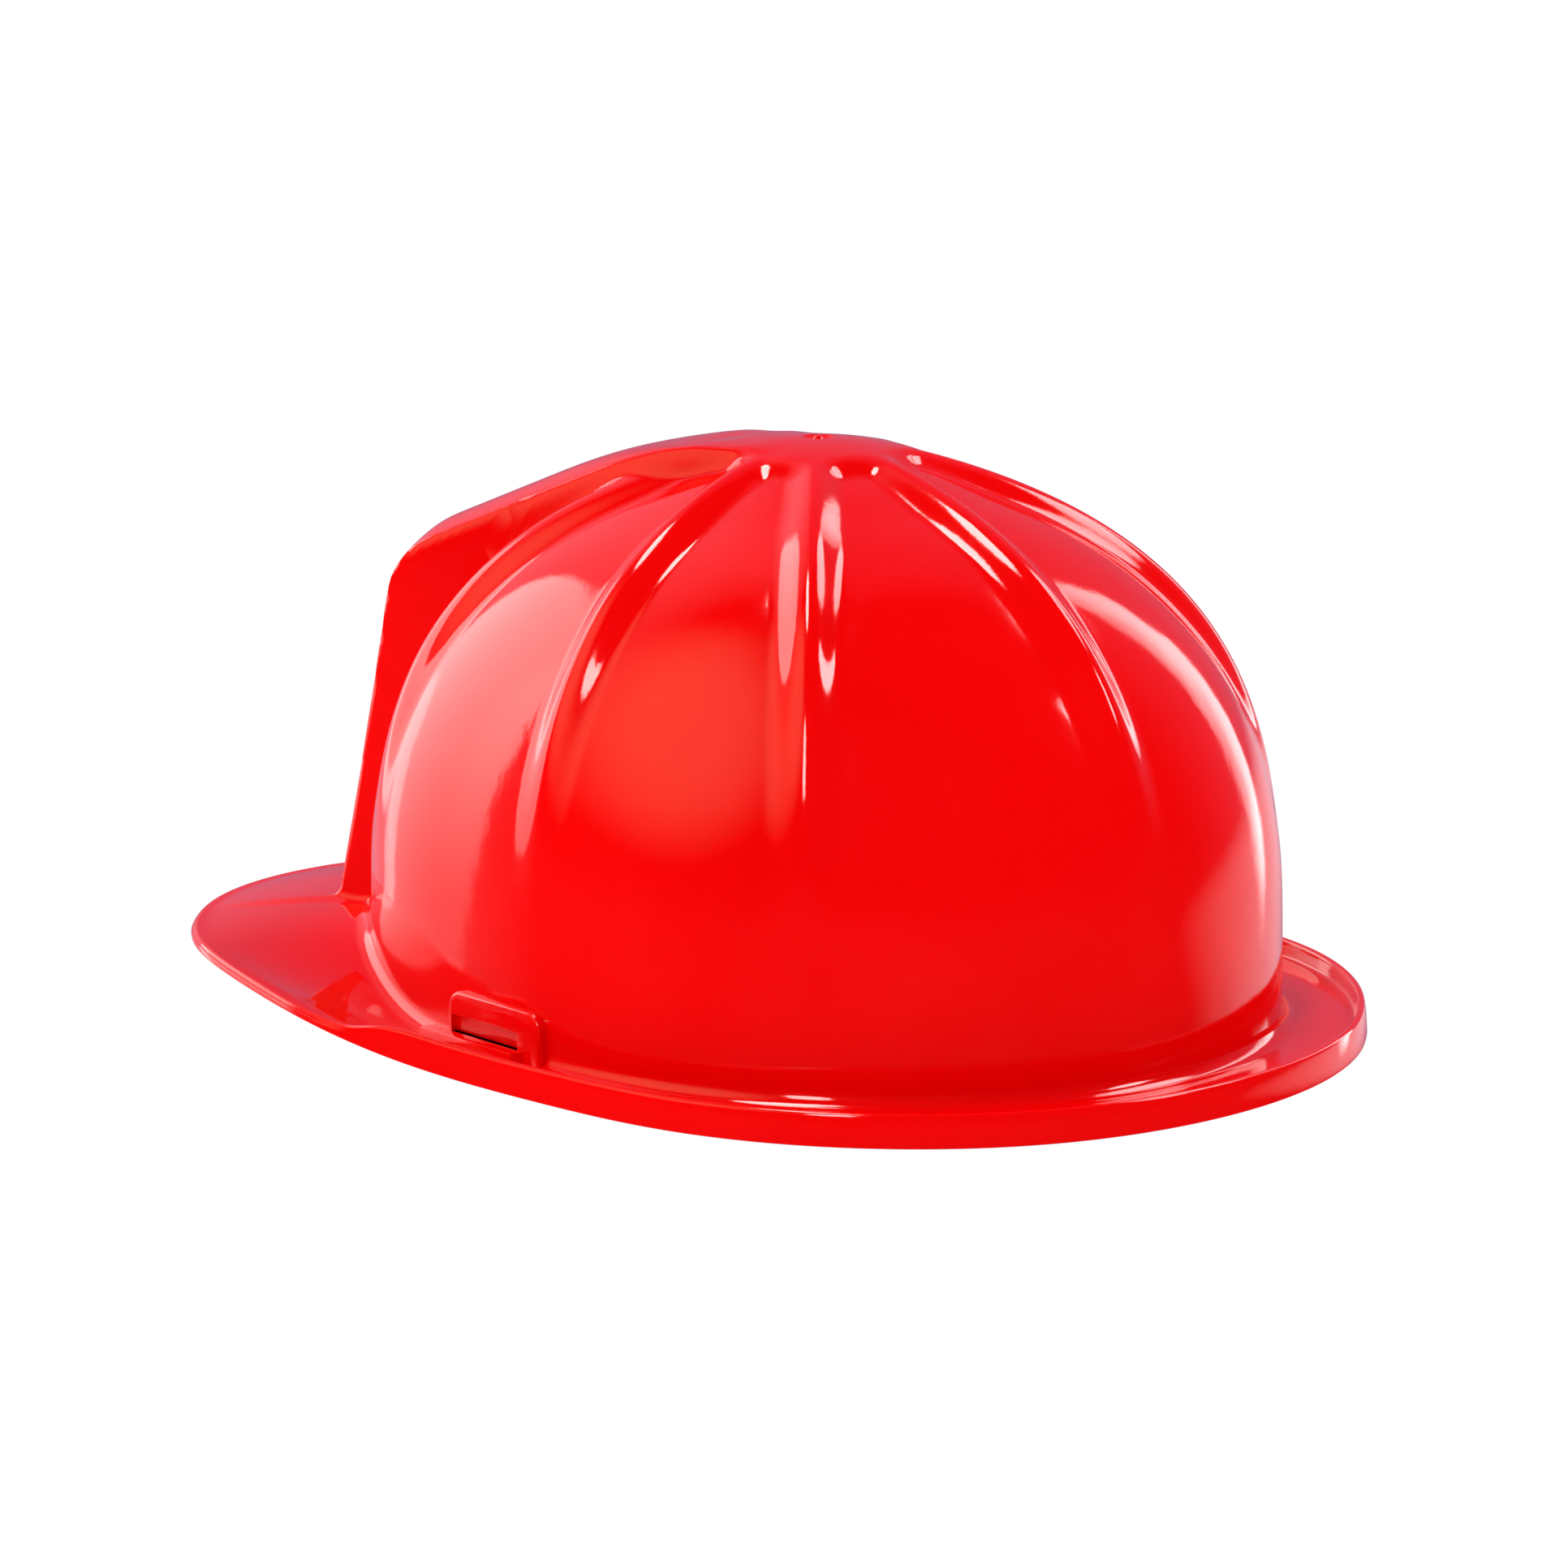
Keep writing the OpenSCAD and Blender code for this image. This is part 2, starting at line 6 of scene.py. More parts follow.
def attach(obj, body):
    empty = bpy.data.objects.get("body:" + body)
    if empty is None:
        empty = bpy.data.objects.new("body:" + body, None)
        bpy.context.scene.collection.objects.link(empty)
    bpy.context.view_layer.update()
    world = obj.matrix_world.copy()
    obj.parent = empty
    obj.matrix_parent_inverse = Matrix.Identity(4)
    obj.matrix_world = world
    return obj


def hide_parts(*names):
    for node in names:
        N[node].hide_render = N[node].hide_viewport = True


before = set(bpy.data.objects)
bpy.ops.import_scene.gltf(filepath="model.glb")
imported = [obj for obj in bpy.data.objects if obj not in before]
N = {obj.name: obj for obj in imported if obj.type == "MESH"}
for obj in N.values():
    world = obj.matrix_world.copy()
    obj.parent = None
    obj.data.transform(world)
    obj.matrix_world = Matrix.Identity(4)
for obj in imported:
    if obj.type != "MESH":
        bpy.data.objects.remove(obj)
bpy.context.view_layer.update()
MM = 0.001

# ------------------------------------------------------------------ helpers
def link(ob):
    bpy.context.scene.collection.objects.link(ob)
    return ob


def mesh_obj(name, verts, faces, smooth=True, scale=MM):
    me = bpy.data.meshes.new(name)
    v = np.asarray(verts, float) * scale
    me.from_pydata([tuple(p) for p in v], [], [tuple(int(i) for i in f) for f in faces])
    me.validate()
    me.update()
    if smooth:
        me.shade_smooth()
    return link(bpy.data.objects.new(name, me))


def apply_mods(ob):
    bpy.context.view_layer.update()
    dg = bpy.context.evaluated_depsgraph_get()
    me = bpy.data.meshes.new_from_object(ob.evaluated_get(dg))
    ob.modifiers.clear()
    old = ob.data
    ob.data = me
    me.name = ob.name
    if old.users == 0:
        bpy.data.meshes.remove(old)
    return ob


def drop(ob):
    me = ob.data
    bpy.data.objects.remove(ob)
    if me.users == 0:
        bpy.data.meshes.remove(me)


def boolean(ob, cutter, op):
    m = ob.modifiers.new("b", "BOOLEAN")
    m.operation, m.object, m.solver = op, cutter, "MANIFOLD"
    apply_mods(ob)
    drop(cutter)
    return ob


def by_angle(ob, deg):
    ob.data.shade_smooth()
    ob.data.set_sharp_from_angle(angle=math.radians(deg))


def rbox(lo, hi, r, seg=3, mat=None):
    """A box with rounded edges as a bmesh, in mm."""
    bm = bmesh.new()
    bmesh.ops.create_cube(bm, size=1)
    for v in bm.verts:
        v.co = Vector([(lo[i] + hi[i]) / 2 + v.co[i] * (hi[i] - lo[i]) for i in range(3)])
    if r > 0:
        bmesh.ops.bevel(bm, geom=bm.edges[:], offset=r, segments=seg, affect="EDGES", profile=0.5)
    if mat is not None:
        bm.transform(mat)
    return bm


def bm_obj(name, bms, smooth=True):
    """Joins several bmeshes (mm) into one object."""
    out = bmesh.new()
    for b in bms:
        me = bpy.data.meshes.new("t")
        b.to_mesh(me)
        b.free()
        out.from_mesh(me)
        bpy.data.meshes.remove(me)
    bmesh.ops.recalc_face_normals(out, faces=out.faces[:])
    for v in out.verts:
        v.co *= MM
    me = bpy.data.meshes.new(name)
    out.to_mesh(me)
    out.free()
    if smooth:
        me.shade_smooth()
    return link(bpy.data.objects.new(name, me))


def rz(deg, t=(0, 0, 0)):
    return Matrix.Translation(Vector(t)) @ Matrix.Rotation(math.radians(deg), 4, "Z")


MIRROR = Matrix.Scale(-1, 4, (1, 0, 0))

# ------------------------------------------------------------------ the shell's form, in mm
crown_h, shell_t, dome_p, dome_q = 129.0, 2.4, 1.84, 3.43
rib_depth, rib_hw, lip_h, lip_t, visor_lift, block_w = 4.0, 8.5, 7.3, 2.2, 12.7, 13.0
crown_y, floor_z, base_z = 14.0, 3.2, 5.0
ribs = np.array([22.5, 67.5, 112.5, 157.5])
C = lambda d: np.cos(np.radians(d))
S = lambda d: np.sin(np.radians(d))


def rim_r(p):
    return (117.4 + 5.5 * C(p) + 17.6 * C(2 * p) + 8 * C(3 * p) + 1.3 * C(4 * p)
            + 0.5 * C(6 * p) + 0.5 * C(7 * p) + 0.4 * C(8 * p)
            + 0.7 * np.exp(-((np.abs(p) - 150) / 22) ** 2) - 1.1 * np.exp(-(p / 15) ** 2)
            + 1.2 * np.exp(-((np.abs(p) - 19) / 9) ** 2))


def wall_r(p):
    return (94.3 - 2.5 * C(p) + 9.2 * C(2 * p) + 3.1 * C(3 * p) + 1.3 * C(4 * p)
            + 0.8 * np.exp(-((np.abs(p) - 152) / 24) ** 2))


def sstep(a, b, x):
    t = np.clip((x - a) / (b - a), 0, 1)
    return t * t * (3 - 2 * t)


def smin(a, b, k):
    h = np.clip(0.5 + 0.5 * (b - a) / k, 0, 1)
    return b * (1 - h) + a * h - k * h * (1 - h)


def lift(p): return visor_lift * np.exp(-(np.abs(p) / 51.5) ** 3.2)
def is_lip(p): return 1 / (1 + np.exp(-(np.abs(p) - 50.6) / 1.9))
def edge_bot(p): return lift(p)
def edge_top(p): return lift(p) + 2.2 + (lip_h - 2.2) * is_lip(p)
def floor_edge(p): return edge_top(p) - (lip_h - floor_z) * is_lip(p)
def floor_root(p): return floor_z + 16.3 * np.exp(-(np.abs(p) / 30) ** 3)
def f_of(rho): return np.maximum(0, 1 - rho ** dome_p) ** (1 / dome_q)
def rho_of(f): return np.maximum(0, 1 - f ** dome_q) ** (1 / dome_p)


def nrm(p, rho, f):
    a = dome_p * np.maximum(rho, 0.02) ** (dome_p - 1) / wall_r(p)
    b = dome_q * np.maximum(f, 0.001) ** (dome_q - 1) / (crown_h - base_z)
    l = np.hypot(a, b)
    return a / l, b / l


def rib_off(p): return np.min(np.abs(np.abs(p)[..., None] - ribs), axis=-1)


def rib_mask(p, r):
    s = np.abs(r * S(rib_off(p)))
    w = rib_hw - 1.4 * (1 - sstep(22, 50, r))
    return np.where(s > w, 0, 0.5 + 0.5 * np.cos(np.pi * s / w))


def scoop(r, z): return rib_depth * (0.7 * sstep(16.5, 24, r) + 0.3 * sstep(22, 42, r)) * sstep(36, 104, z)
def swell(p, r): return 1.8 * np.exp(-(r / 30) ** 2)
def panel_d(p, r, z): return swell(p, r) - scoop(r, z) * (1 - rib_mask(p, r))


def block_d(p, r, z, n0, n1):
    c = np.where(np.abs(p) > 82, 0.14, C(p))
    x = r * S(p)
    d1 = ((113.5 - (z - 21.1) * 0.1905) / c - r) / (n0 + n1 * 0.1905 / c)
    d2 = (108.2 + 0.43 * (88 - r * c) - 0.02 * x * x - z) / (n1 + 0.43 * n0 * c)
    d3 = (130.9 - 0.0028 * r * r - z) / np.maximum(n1, 0.05)
    return smin(smin(d1, d2, 10), d3, 2)


def block_mask(p, r, w):
    return (1 - sstep(w, w + 3.6, np.abs(r * S(p)))) * (1 - sstep(40, 80, np.abs(p))) * sstep(0, 28, r)


def disp(p, r, z, n0, n1, w):
    d = panel_d(p, r, z)
    m = block_mask(p, r, w)
    return np.where(m > 0, d + (np.maximum(d, block_d(p, r, z, n0, n1)) - d) * m, d)


def gate(r):
    """Shallow gate mark with its nub on the crown."""
    return -0.55 * (1 - sstep(2.9, 3.7, r)) + 0.75 * (1 - sstep(0.6, 1.3, r))


def dome_pt(p, rho, f, k, w, mark=False):
    r = wall_r(p) * rho
    z = base_z + (crown_h - base_z) * f + 0 * p
    n0, n1 = nrm(p, rho, f)
    d = disp(p, r, z, n0, n1, w) + k
    if mark:
        d = d + gate(r)
    rr = r + d * n0
    return np.stack([rr * S(p), crown_y - rr * C(p), z + d * n1], -1)


def wall_at(p, z, k, w):
    f = np.maximum(0, (z - base_z) / (crown_h - base_z))
    return dome_pt(p, rho_of(f), f, k, w)


def ring(p, r, z):
    return np.stack([r * S(p), crown_y - r * C(p), z + 0 * p], -1)


def columns():
    def step(a):
        if a < 11: return 0.3
        d = min(abs(a - c) for c in ribs)
        if d < 11: return 0.6
        if 44 < a < 78: return 0.7
        return 1.1
    a, half = 0.0, [0.0]
    while a < 180:
        a += step(a)
        half.append(min(a, 180.0))
    half = np.array(half)
    if half[-1] - half[-2] < 0.3:
        half = np.delete(half, -2)
    return np.concatenate([half, -half[-2:0:-1]])


P = columns()


def shell_rows():
    rows = []
    # crown to the start of the wall, near even in arc length
    rr = np.concatenate([np.linspace(0.004, 0.055, 16), np.linspace(0.063, 0.30, 26), np.linspace(0.31, 0.955, 74)])
    for rho in rr:
        rows.append(dome_pt(P, rho, f_of(rho), 0, block_w, mark=True))
    fr = 3.6                                     # fillet at the foot of the wall
    root = floor_root(P)
    z0 = root + fr
    ztop = base_z + (crown_h - base_z) * f_of(0.955)
    for u in np.linspace(1, 0, 34)[1:]:
        rows.append(wall_at(P, z0 + (ztop - z0) * u, 0, block_w))
    foot = np.hypot(rows[-1][:, 0], rows[-1][:, 1] - crown_y)
    for a in np.linspace(0, 90, 10)[1:]:
        rows.append(ring(P, foot + fr * (1 - C(a)), z0 - fr * S(a)))
    # brim floor out to the foot of the lip
    lip, R = is_lip(P), rim_r(P)
    r_in = R - lip_t - 1.3
    z_in = floor_edge(P)
    r_a = foot + fr
    for u in np.linspace(0, 1, 16)[1:]:
        w = u + 0.0 * P
        z = root + (z_in - root) * (w * (1 - 0.35 * (1 - w)))
        rows.append(ring(P, r_a + (r_in - r_a) * w, z))
    # inner fillet and face of the lip, its rounded top, outer face and underside
    et, eb = edge_top(P), edge_bot(P)
    for a in (30, 60, 90):
        rows.append(ring(P, r_in + 0.9 * S(a), z_in + 0.9 * (1 - C(a)) * lip))
    rows.append(ring(P, R - lip_t - 0.3, z_in + 0.9 * lip + (et - 1.4 - z_in - 0.9 * lip) * 0.5 * lip))
    tr = 0.85
    for a in (0, 30, 60, 90, 120, 150, 180):
        rows.append(ring(P, R - 0.35 - lip_t / 2 - (lip_t / 2 - 0.25) * C(a), et - tr * (1 - S(a)) * (lip if a < 90 else 1)))
    rows.append(ring(P, R - 0.3, et - 2.0 * lip - 0.95))
    rows.append(ring(P, R - 0.05, eb + 0.7))
    rows.append(ring(P, R - 0.12, eb + 0.2))
    rows.append(ring(P, R - 0.5, eb))
    rows.append(ring(P, R - lip_t + 0.4, eb))
    rows.append(ring(P, R - lip_t, eb + 0.3))
    rows.append(ring(P, R - lip_t - 0.3, floor_edge(P) - shell_t + 0.2))
    rin = R - lip_t - 0.3
    zin = floor_edge(P) - shell_t + 0.2
    r_b = foot + 1.2
    for u in np.linspace(0, 1, 10)[1:]:
        z = zin + (root - shell_t - zin) * u
        rows.append(ring(P, rin + (r_b - rin) * u, z))
    for a in (30, 60, 90):
        rows.append(ring(P, r_b - 3.4 * S(a), root - shell_t + 3.4 * (1 - C(a))))
    zi = root + fr
    for u in np.linspace(0, 1, 16)[1:]:
        rows.append(wall_at(P, zi + (ztop - zi) * u, -shell_t, block_w - 2))
    for rho in np.concatenate([np.linspace(0.93, 0.30, 34), np.linspace(0.26, 0.03, 9)]):
        rows.append(dome_pt(P, rho, f_of(rho), -shell_t, block_w - 2))
    return rows


def grid_shell(name):
    rows = shell_rows()
    n = len(P)
    top = dome_pt(np.zeros(1), 0.0001, 1.0, 0, block_w, mark=True)
    bot = dome_pt(np.zeros(1), 0.0001, 1.0, -shell_t, block_w - 2)
    V = np.concatenate(rows + [top, bot])
    m = len(rows)
    i = np.arange(n)
    j = (i + 1) % n
    F = []
    for k in range(m - 1):
        a, b = k * n + i, k * n + j
        F.append(np.stack([a, a + n, b + n, b], 1))
    F = np.concatenate(F)
    faces = F.tolist() + [[m * n, int(q), int(w)] for q, w in zip(i, j)] + \
        [[m * n + 1, int((m - 1) * n + w), int((m - 1) * n + q)] for q, w in zip(i, j)]
    return mesh_obj(name, V, faces)


shell = grid_shell("helmet_shell")
print("grid", len(shell.data.vertices), len(shell.data.polygons))

# raised pads with the accessory slots, and the ledges under them
SLOT = rz(-24.5, (72, -31, 0))
add, cut = [], []
for M in (Matrix.Identity(4), MIRROR):
    T = M @ SLOT
    add.append(rbox((-1.8, -12.8, 3), (1.6, 19, 15.4), 0.0))
    bm = add[-1]
    ed = [e for e in bm.edges if all(v.co.z > 15 for v in e.verts) and abs(e.verts[0].co.y - e.verts[1].co.y) < 0.1]
    bmesh.ops.bevel(bm, geom=ed, offset=4, segments=8, affect="EDGES", profile=0.5)
    ed = [e for e in bm.edges if all(v.co.x > 1.5 for v in e.verts) and not all(abs(v.co.z - 3) < 0.01 for v in e.verts)]
    bmesh.ops.bevel(bm, geom=ed, offset=0.8, segments=4, affect="EDGES", profile=0.5)
    bm.transform(T)
    add.append(rbox((-1.8, -19, 2.2), (4.6, 13, 6.3), 0.35, 2, T))
    cut.append(rbox((-1.2, -11.5, 6.3), (7.1, 11.5, 10.1), 0, 1, T))
    cut.append(rbox((-1.2, -11.5, 6.3), (0.3, 11.5, 14.3), 0, 1, T))
    for y, a, g, d in ((-18, -44, 64.2, 6.6), (38, 44, 72.4, 8.4)):
        H = M @ rz(a, (0, y, 0))
        add.append(rbox((g - 2.4, -9.5, 15), (g - 2.4 + d, 9.5, 30), 0.5, 2, H))
        cut.append(rbox((g - 1.15, -7.2, 14), (g + 1.15, 7.2, 28), 0, 1, H))
boolean(shell, bm_obj("a", add), "UNION")
boolean(shell, bm_obj("c", cut), "DIFFERENCE")
print("cut", len(shell.data.vertices), len(shell.data.polygons))
by_angle(shell, 38)
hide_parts("shell")
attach(shell, "root")


# ------------------------------------------------------------------ soft pieces
arc_r, band_t, band_a, band_y, band_h, band_z = 56.0, 1.6, 68.0, 10.0, 24.0, 7.0
front_arc_y, rear_arc_y = -18.0, 38.0
side_c = (28.0 ** 2 - (band_a - arc_r) ** 2) / (2 * (band_a - arc_r))
side_r = band_a + side_c
join_a = math.degrees(math.atan2(28.0, side_c))


def oval_pt(s_deg, o):
    """Point of the headband's oval at an offset; -17..-join_a runs along the right side, then the front arc."""
    if s_deg > -join_a:
        return (-side_c + (side_r + o) * C(s_deg), band_y + (side_r + o) * S(s_deg))
    return ((arc_r + o) * C(s_deg), front_arc_y + (arc_r + o) * S(s_deg))


def brow_path(o, n_side=22, n_arc=44):
    a = [oval_pt(t, o) for t in np.linspace(-17, -join_a + 0.01, n_side)] + \
        [oval_pt(t, o) for t in np.linspace(-join_a - 0.01, -90, n_arc)[1:]]
    a = np.array(a)
    b = a[:-1][::-1].copy()
    b[:, 0] *= -1
    return np.concatenate([a, b])


def pad_section(back, front, z0, z1, hem, seam, n=18):
    """Closed (offset, z) loop of a crowned pad with a thin sewn hem along both long edges."""
    pts = []
    h = z1 - z0
    for z in np.linspace(z0 + 0.3, z1 - 0.3, 8):
        pts.append((back, z))
    pts += [(back - 0.15, z1), (back - seam, z1), (back - seam - 0.15, z1 - 0.5), (back - seam - 0.1, z1 - hem)]
    for t in np.linspace(0, 1, n):
        z = z1 - hem - 0.1 - (h - 2 * hem - 0.2) * t
        k = (4 * t * (1 - t)) ** 0.42
        pts.append((back - seam - (back - seam - front) * k, z))
    pts += [(back - seam - 0.1, z0 + hem), (back - seam - 0.15, z0 + 0.5), (back - seam, z0), (back - 0.15, z0)]
    return pts


def sweep_pad(name, path_of, sec, n, back):
    """Sweeps a pad section along path_of(offset) -> (n, 2) points; the ends taper to a hem."""
    m = len(sec)
    s = np.linspace(0, 1, n)
    L = np.hypot(*np.diff(path_of(back), axis=0).T).sum()
    d = np.minimum(s, 1 - s) * L
    k = np.clip((d - 2.5) / 9.0, 0, 1)
    k = np.where(d < 2.5, 0.0, np.sqrt(np.clip(1 - (1 - k) ** 2, 0, 1)))
    V = []
    cache = {}
    seam = 1.0
    for i in range(n):
        for o, z in sec:
            oo = o if o > back - seam - 0.2 else back - seam + (o - back + seam) * k[i]
            key = round(oo, 4)
            if key not in cache:
                cache[key] = path_of(oo)
            x, y = cache[key][i]
            V.append((x, y, z))
    F = []
    for i in range(n - 1):
        for j in range(m):
            a, b = i * m + j, i * m + (j + 1) % m
            F.append((a, b, b + m, a + m))
    F.append(tuple(range(m)))
    F.append(tuple((n - 1) * m + j for j in range(m - 1, -1, -1)))
    ob = mesh_obj(name, V, F)
    bm = bmesh.new()
    bm.from_mesh(ob.data)
    bmesh.ops.recalc_face_normals(bm, faces=bm.faces[:])
    bm.to_mesh(ob.data)
    bm.free()
    return ob


def puff(ob, hold, cap, pressure=3.0, frames=14):
    """Blows a pad up as cloth. hold(v) in mm is True where it is sewn or rests on its backing; no point moves further than cap mm."""
    me = ob.data
    start = np.array([v.co[:] for v in me.vertices])
    vg = ob.vertex_groups.new(name="hold")
    vg.add([v.index for v in me.vertices if hold(v.co / MM)], 1.0, "REPLACE")
    md = ob.modifiers.new("Cloth", "CLOTH")
    cs = md.settings
    cs.quality = 6
    cs.mass = 0.15
    cs.tension_stiffness = cs.compression_stiffness = 25
    cs.shear_stiffness = 12
    cs.bending_stiffness = 0.2
    cs.use_pressure = True
    cs.uniform_pressure_force = pressure
    cs.vertex_group_mass = "hold"
    cs.shrink_min = -0.035
    cs.effector_weights.gravity = 0
    md.collision_settings.use_collision = False
    md.collision_settings.use_self_collision = False
    md.point_cache.frame_start, md.point_cache.frame_end = 1, frames
    sc = bpy.context.scene
    for f in range(1, frames + 1):
        sc.frame_set(f)
    dg = bpy.context.evaluated_depsgraph_get()
    ev = ob.evaluated_get(dg).data
    end = np.array([v.co[:] for v in ev.vertices])
    ob.modifiers.clear()
    ob.vertex_groups.clear()
    sc.frame_set(1)
    if not np.isfinite(end).all():
        return ob
    mv = end - start
    ln = np.linalg.norm(mv, axis=1, keepdims=True)
    c = cap * MM
    mv = mv * np.where(ln > 1e-9, c * np.tanh(ln / c) / np.maximum(ln, 1e-9), 0)
    me.vertices.foreach_set("co", (start + mv).ravel())
    me.update()
    print("puff", ob.name, "max mm", round(float(ln.max() / MM), 2))
    return ob


def stitches(path, normal_out, length=2.4, gap=0.9, r=0.24, sink=0.1):
    """Thread stitches as small capsules along a (n, 3) path in mm."""
    bms = []
    path = np.asarray(path, float)
    seg = np.linalg.norm(np.diff(path, axis=0), axis=1)
    cum = np.concatenate([[0], np.cumsum(seg)])
    pos = 0.4
    nrm_ = np.asarray(normal_out, float)
    while pos + length < cum[-1]:
        def at(q):
            return np.array([np.interp(q, cum, path[:, i]) for i in range(3)])

        def nat(q):
            v = np.array([np.interp(q, cum, nrm_[:, i]) for i in range(3)]) if nrm_.ndim == 2 else nrm_
            return v / np.linalg.norm(v)
        bm = bmesh.new()
        ks = [0, 0.15, 0.5, 0.85, 1]
        up = [-0.25, 0.1, 0.2, 0.1, -0.25]
        rings = []
        for k, u in zip(ks, up):
            c = at(pos + length * k) + nat(pos + length * k) * (u - sink)
            t = at(pos + length * min(k + 0.05, 1)) - at(pos + length * max(k - 0.05, 0))
            t /= np.linalg.norm(t)
            a = nat(pos + length * k)
            b = np.cross(t, a)
            rr = r * (0.75 if k in (0, 1) else 1)
            rings.append([bm.verts.new(c + rr * (a * math.cos(w) + b * math.sin(w))) for w in np.linspace(0, 2 * math.pi, 7)[:-1]])
        for p_, q_ in zip(rings, rings[1:]):
            for i in range(6):
                bm.faces.new((p_[i], p_[(i + 1) % 6], q_[(i + 1) % 6], q_[i]))
        bm.faces.new(rings[0][::-1])
        bm.faces.new(rings[-1])
        bms.append(bm)
        pos += length + gap
    return bms


def subdiv(ob, n=1):
    m = ob.modifiers.new("s", "SUBSURF")
    m.levels = m.render_levels = n
    return apply_mods(ob)


# sweatband at the brow
bz0, bz1 = band_z - 1, band_z + band_h - 2
sec = pad_section(-0.35, -4.2, bz0 + 0.2, bz1 - 0.2, 2.6, 1.0)
npath = len(brow_path(-1))
brow = sweep_pad("brow_sweatband", brow_path, sec, npath, -0.35)
pathm = brow_path(-0.9)


def brow_hold(v):
    j = int(np.argmin((pathm[:, 0] - v.x) ** 2 + (pathm[:, 1] - v.y) ** 2))
    d = math.hypot(pathm[j, 0] - v.x, pathm[j, 1] - v.y)
    return d < 0.9 or v.z < bz0 + 2.9 or v.z > bz1 - 2.9


puff(brow, brow_hold, 0.8)
subdiv(brow)
th = []
for zz in (bz0 + 1.7, bz1 - 1.7):
    q = brow_path(-1.55)[2:-2]
    t = np.gradient(q, axis=0)
    nn = np.stack([t[:, 1], -t[:, 0]], 1)
    cen = np.array([0, band_y])
    nn *= np.sign(((cen - q) * nn).sum(1, keepdims=True))
    nn /= np.linalg.norm(nn, axis=1, keepdims=True)
    th += stitches(np.column_stack([q, np.full(len(q), zz)]), np.column_stack([nn, np.zeros(len(q))]))
brow_thread = bm_obj("brow_sweatband_stitching", th)

# nape pad
na = np.linspace(69.6, 110.4, 34)


def nape_path(o):
    return np.stack([(arc_r + o) * C(na), rear_arc_y + (arc_r + o) * S(na)], 1)


nz0, nz1 = band_z - 0.8, band_z + band_h + 0.8
nape = sweep_pad("nape_pad_cushion", nape_path, pad_section(-0.75, -4.7, nz0, nz1, 2.6, 1.0), len(na), -0.75)
puff(nape, lambda v: math.hypot(v.x, v.y - rear_arc_y) > arc_r - 1.9 or v.z < nz0 + 2.8 or v.z > nz1 - 2.8, 0.6)
subdiv(nape)
th = []
for zz in (nz0 + 1.7, nz1 - 1.7):
    q = nape_path(-1.95)[1:-1]
    nn = np.array([[0, rear_arc_y]]) - q
    nn /= np.linalg.norm(nn, axis=1, keepdims=True)
    th += stitches(np.column_stack([q, np.full(len(q), zz)]), np.column_stack([nn, np.zeros(len(q))]))
nape_thread = bm_obj("nape_pad_stitching", th)

# crown pad: a round quilted cushion under the straps
V, F = [], []
prof = [(0.0, 94.6), (5, 94.55), (10, 94.3), (15, 93.8), (20, 93.0), (24, 92.1), (27, 91.2), (28.6, 90.4), (30.4, 89.9),
        (31.4, 89.3), (31.4, 88.8), (30.4, 88.5), (28.7, 88.6), (28.0, 88.0), (26, 87.7), (22, 88.4), (19.2, 89.2),
        (18.2, 89.7), (17.2, 89.5), (14, 89.3), (9, 89.7), (4.5, 90.0), (2.2, 90.6), (0.0, 91.0)]
NA = 72
for k, (r, z) in enumerate(prof):
    if r == 0:
        V.append((0, band_y, z))
        continue
    for i in range(NA):
        V.append((r * C(360 * i / NA), band_y + r * S(360 * i / NA), z))
idx, c = [], 0
for r, z in prof:
    idx.append(c)
    c += 1 if r == 0 else NA
for k in range(len(prof) - 1):
    a, b = idx[k], idx[k + 1]
    for i in range(NA):
        j = (i + 1) % NA
        if prof[k][0] == 0:
            F.append((a, b + i, b + j))
        elif prof[k + 1][0] == 0:
            F.append((a + i, b, a + j))
        else:
            F.append((a + i, b + i, b + j, a + j))
cpad = mesh_obj("crown_pad_cushion", V, F)
bm = bmesh.new()
bm.from_mesh(cpad.data)
bmesh.ops.recalc_face_normals(bm, faces=bm.faces[:])
bm.to_mesh(cpad.data)
bm.free()


def crown_hold(v):
    r = math.hypot(v.x, v.y - band_y)
    up = v.z > 89 + (4.6 if r < 24 else 2.0) * (1 if r < 27 else 0)
    return r > 27.8 or abs(r - 18.2) < 0.7 or r < 3 or up


puff(cpad, crown_hold, 0.8, 2.5)
subdiv(cpad)
th = []
for r, z, n in ((29.5, 88.5, 72), (18.2, 89.65, 48)):
    a = np.linspace(0, 360, n + 1)
    q = np.stack([r * C(a), band_y + r * S(a), np.full(n + 1, z)], 1)
    th += stitches(q, (0, 0, -1.0))
cpad_thread = bm_obj("crown_pad_stitching", th)


# crown straps: flat webbing, sewn round the hangers' bars
tab_o = arc_r + band_t + 0.3
tab_x = (tab_o + 1) * C(44)
tab_y = rear_arc_y - band_y + (tab_o + 1) * S(44)
strap_a = math.degrees(math.atan2(tab_x, tab_y))
strap_r = math.hypot(tab_x, tab_y) - 0.6


